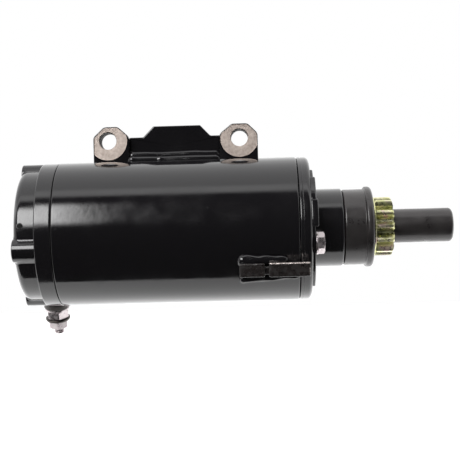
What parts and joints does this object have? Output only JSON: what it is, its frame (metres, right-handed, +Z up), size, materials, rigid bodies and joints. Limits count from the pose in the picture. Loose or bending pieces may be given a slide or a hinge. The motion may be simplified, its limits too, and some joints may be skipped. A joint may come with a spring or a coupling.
{
  "type": "starter motor",
  "caption": "Cylindrical permanent-magnet starter motor with a welded two-ear bracket, an insulated stud terminal and a pinion that winds forward on a splined shaft.",
  "frame": {"origin": "on the motor's axis, at the centre of the flat hub face on the back of the brush-end cap", "axes": "+X along the motor's axis from the brush end to the pinion, +Z up through the top bracket, -Y the side that the bracket's spot faces look to"},
  "size_m": [0.262, 0.091, 0.1293],
  "materials": {
    "black_enamel": "gloss",
    "machined_steel": "machined",
    "rough_black_steel": "rough painted",
    "zinc_steel": "zinc plated",
    "dark_spring_steel": "satin",
    "insulator": "satin",
    "phosphated_steel": "satin",
    "yellow_zinc": "yellow chromate",
    "bronze": "sintered",
    "ferrite": "matt",
    "carrier_steel": "plated",
    "carbon": "matt",
    "core_steel": "laminated",
    "copper": "bare",
    "rubber": "matt"
  },
  "bodies": {
    "stator": {"frame_tube": "black_enamel", "brush_end_cap": "black_enamel", "drive_end_cap": "black_enamel", "bracket_plate": "black_enamel", "bracket_weld_front": "black_enamel", "bracket_weld_rear": "black_enamel", "lug_weld_top": "black_enamel", "lug_weld_bottom": "black_enamel", "bracket_boss_brush": "machined_steel", "bracket_boss_drive": "machined_steel", "mounting_lug": "rough_black_steel", "terminal_stud": "zinc_steel", "terminal_flat_washer": "zinc_steel", "terminal_nut_inner": "zinc_steel", "terminal_nut_outer": "zinc_steel", "through_bolt_front": "zinc_steel", "through_bolt_rear": "zinc_steel", "through_bolt_washer_front": "zinc_steel", "through_bolt_washer_rear": "zinc_steel", "brush_plate_screw_upper": "zinc_steel", "brush_plate_screw_lower": "zinc_steel", "terminal_lock_washer": "dark_spring_steel", "brush_spring_1": "dark_spring_steel", "brush_spring_2": "dark_spring_steel", "brush_spring_3": "dark_spring_steel", "brush_spring_4": "dark_spring_steel", "terminal_insulator_outer": "insulator", "terminal_insulator_inner": "insulator", "brush_end_bushing": "bronze", "drive_end_bushing": "bronze", "field_magnet_1": "ferrite", "field_magnet_2": "ferrite", "field_magnet_3": "ferrite", "field_magnet_4": "ferrite", "brush_plate": "carrier_steel", "brush_box_1": "carrier_steel", "brush_box_2": "carrier_steel", "brush_box_3": "carrier_steel", "brush_box_4": "carrier_steel", "terminal_lead": "copper"},
    "armature": {"armature_shaft": "machined_steel", "armature_core": "core_steel", "armature_winding": "copper", "commutator": "copper", "thrust_washer_brush": "machined_steel", "thrust_washer_drive": "machined_steel", "drive_shell": "phosphated_steel", "rubber_cushion": "rubber", "spring_cup": "phosphated_steel", "lock_nut": "zinc_steel", "return_spring": "dark_spring_steel"},
    "spring_seat": {"spring_washer": "machined_steel"},
    "pinion": {"pinion": "yellow_zinc", "pinion_plate": "yellow_zinc"},
    "brush_1": {"carbon_brush_1": "carbon"},
    "brush_2": {"carbon_brush_2": "carbon"},
    "brush_3": {"carbon_brush_3": "carbon"},
    "brush_4": {"carbon_brush_4": "carbon"}
  },
  "joints": [
    {"name": "armature_spin", "type": "hinge", "parent": "stator", "child": "armature", "pos_m": [0, 0, 0], "axis": [1, 0, 0], "continuous": true},
    {"name": "pinion_advance", "type": "slide", "parent": "armature", "child": "spring_seat", "axis": [1, 0, 0], "range_m": [0, 0.012], "stiffness_N_per_m": 300, "springref_m": -0.004, "deforming": ["return_spring"]},
    {"name": "pinion_helix", "type": "hinge", "parent": "spring_seat", "child": "pinion", "pos_m": [0, 0, 0], "axis": [1, 0, 0], "range_deg": [-56, 0.5]},
    {"name": "brush_lift_1", "type": "slide", "parent": "stator", "child": "brush_1", "axis": [0, -0.8572, 0.515], "range_m": [0, 0.003], "stiffness_N_per_m": 800, "springref_m": -0.004, "deforming": ["brush_spring_1"]},
    {"name": "brush_lift_2", "type": "slide", "parent": "stator", "child": "brush_2", "axis": [0, 0.515, 0.8572], "range_m": [0, 0.003], "stiffness_N_per_m": 800, "springref_m": -0.004, "deforming": ["brush_spring_2"]},
    {"name": "brush_lift_3", "type": "slide", "parent": "stator", "child": "brush_3", "axis": [0, 0.8572, -0.515], "range_m": [0, 0.003], "stiffness_N_per_m": 800, "springref_m": -0.004, "deforming": ["brush_spring_3"]},
    {"name": "brush_lift_4", "type": "slide", "parent": "stator", "child": "brush_4", "axis": [0, -0.515, -0.8572], "range_m": [0, 0.003], "stiffness_N_per_m": 800, "springref_m": -0.004, "deforming": ["brush_spring_4"]}
  ],
  "couplings": [
    {"joint": "pinion_helix", "follows": "pinion_advance", "rad_per_m": -80.554}
  ]
}
